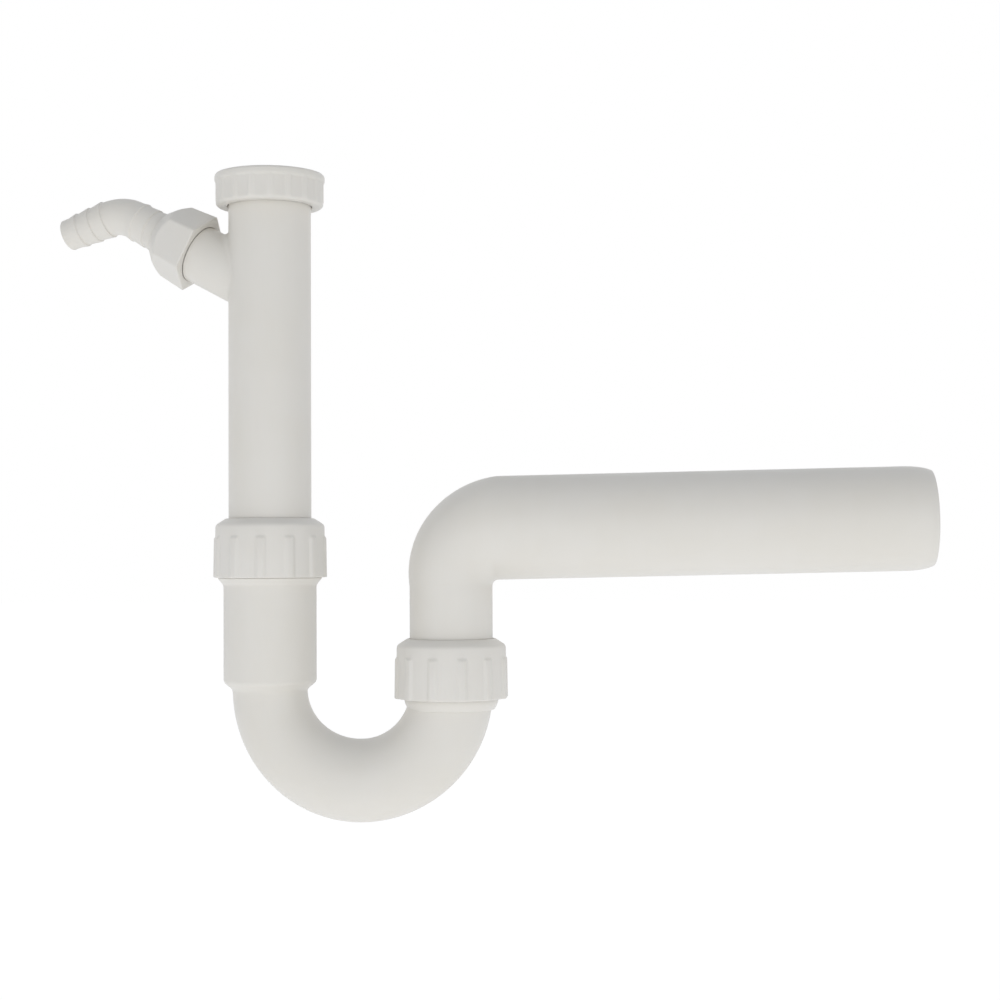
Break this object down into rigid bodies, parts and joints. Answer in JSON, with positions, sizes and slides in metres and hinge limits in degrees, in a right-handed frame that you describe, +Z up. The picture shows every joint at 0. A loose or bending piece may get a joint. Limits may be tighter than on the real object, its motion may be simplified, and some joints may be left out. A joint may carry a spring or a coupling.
{
  "type": "tubular trap",
  "caption": "White plastic sink trap: upright inlet pipe with a hose branch, screwed U-bend and a long horizontal outlet pipe.",
  "frame": {"origin": "on the inlet pipe's axis, on top of the flat gasket under the union nut's thread", "axes": "+Z up along the inlet pipe, +X towards the outlet pipe's open end"},
  "size_m": [0.4277, 0.0598, 0.3141],
  "materials": {
    "pipe_plastic": "satin moulded white polypropylene",
    "nut_plastic": "satin moulded white polypropylene",
    "ring_plastic": "smooth white polyethylene",
    "seal_rubber": "smooth black rubber"
  },
  "bodies": {
    "inlet": {"inlet_pipe": "pipe_plastic", "inlet_flat_gasket": "seal_rubber"},
    "union_nut": {"inlet_union_nut": "nut_plastic"},
    "inlet_seal": {"inlet_wedge_seal": "seal_rubber"},
    "trap": {"trap_bend": "pipe_plastic"},
    "inlet_ring": {"inlet_slip_ring": "ring_plastic"},
    "inlet_nut": {"inlet_compression_nut": "nut_plastic"},
    "outlet_seal": {"outlet_wedge_seal": "seal_rubber"},
    "outlet": {"outlet_pipe": "pipe_plastic"},
    "outlet_ring": {"outlet_slip_ring": "ring_plastic"},
    "outlet_nut": {"outlet_compression_nut": "nut_plastic"},
    "nozzle_seal": {"nozzle_gasket": "seal_rubber"},
    "nozzle": {"hose_nozzle": "pipe_plastic"},
    "nozzle_nut": {"nozzle_nut": "nut_plastic"}
  },
  "joints": [
    {"name": "union_nut_turn", "type": "hinge", "parent": "inlet", "child": "union_nut", "pos_m": [0, 0, 0], "axis": [0, 0, 1], "continuous": true},
    {"name": "trap_height", "type": "slide", "parent": "inlet", "child": "inlet_seal", "axis": [0, 0, 1], "range_m": [-0.03, 0.012]},
    {"name": "trap_swivel", "type": "hinge", "parent": "inlet_seal", "child": "trap", "pos_m": [0, 0, -0.1676], "axis": [0, 0, 1], "continuous": true},
    {"name": "inlet_nut_travel", "type": "slide", "parent": "trap", "child": "inlet_ring", "axis": [0, 0, 1], "range_m": [0, 0.0069]},
    {"name": "inlet_nut_turn", "type": "hinge", "parent": "inlet_ring", "child": "inlet_nut", "pos_m": [0, 0, -0.1676], "axis": [0, 0, 1], "range_deg": [0, 1080]},
    {"name": "outlet_swivel", "type": "hinge", "parent": "trap", "child": "outlet_seal", "pos_m": [0.088, 0, -0.2259], "axis": [0, 0, 1], "range_deg": [-130, 130]},
    {"name": "outlet_depth", "type": "slide", "parent": "outlet_seal", "child": "outlet", "axis": [0, 0, 1], "range_m": [0, 0.008]},
    {"name": "outlet_nut_travel", "type": "slide", "parent": "trap", "child": "outlet_ring", "axis": [0, 0, 1], "range_m": [0, 0.0069]},
    {"name": "outlet_nut_turn", "type": "hinge", "parent": "outlet_ring", "child": "outlet_nut", "pos_m": [0.088, 0, -0.2259], "axis": [0, 0, 1], "range_deg": [0, 1080]},
    {"name": "nozzle_swivel", "type": "hinge", "parent": "inlet", "child": "nozzle_seal", "pos_m": [-0.04818, 0.01112, -0.02161], "axis": [-0.8603, 0.1986, 0.4695], "continuous": true},
    {"name": "nozzle_nut_travel", "type": "slide", "parent": "nozzle_seal", "child": "nozzle", "axis": [-0.8603, 0.1986, 0.4695], "range_m": [0, 0.0054]},
    {"name": "nozzle_nut_turn", "type": "hinge", "parent": "nozzle", "child": "nozzle_nut", "pos_m": [-0.04818, 0.01112, -0.02161], "axis": [-0.8603, 0.1986, 0.4695], "range_deg": [0, 1080]}
  ],
  "couplings": [
    {"joint": "inlet_nut_turn", "follows": "inlet_nut_travel", "rad_per_m": 2721.2},
    {"joint": "outlet_nut_turn", "follows": "outlet_nut_travel", "rad_per_m": 2721.2},
    {"joint": "nozzle_nut_turn", "follows": "nozzle_nut_travel", "rad_per_m": 3463.7}
  ]
}
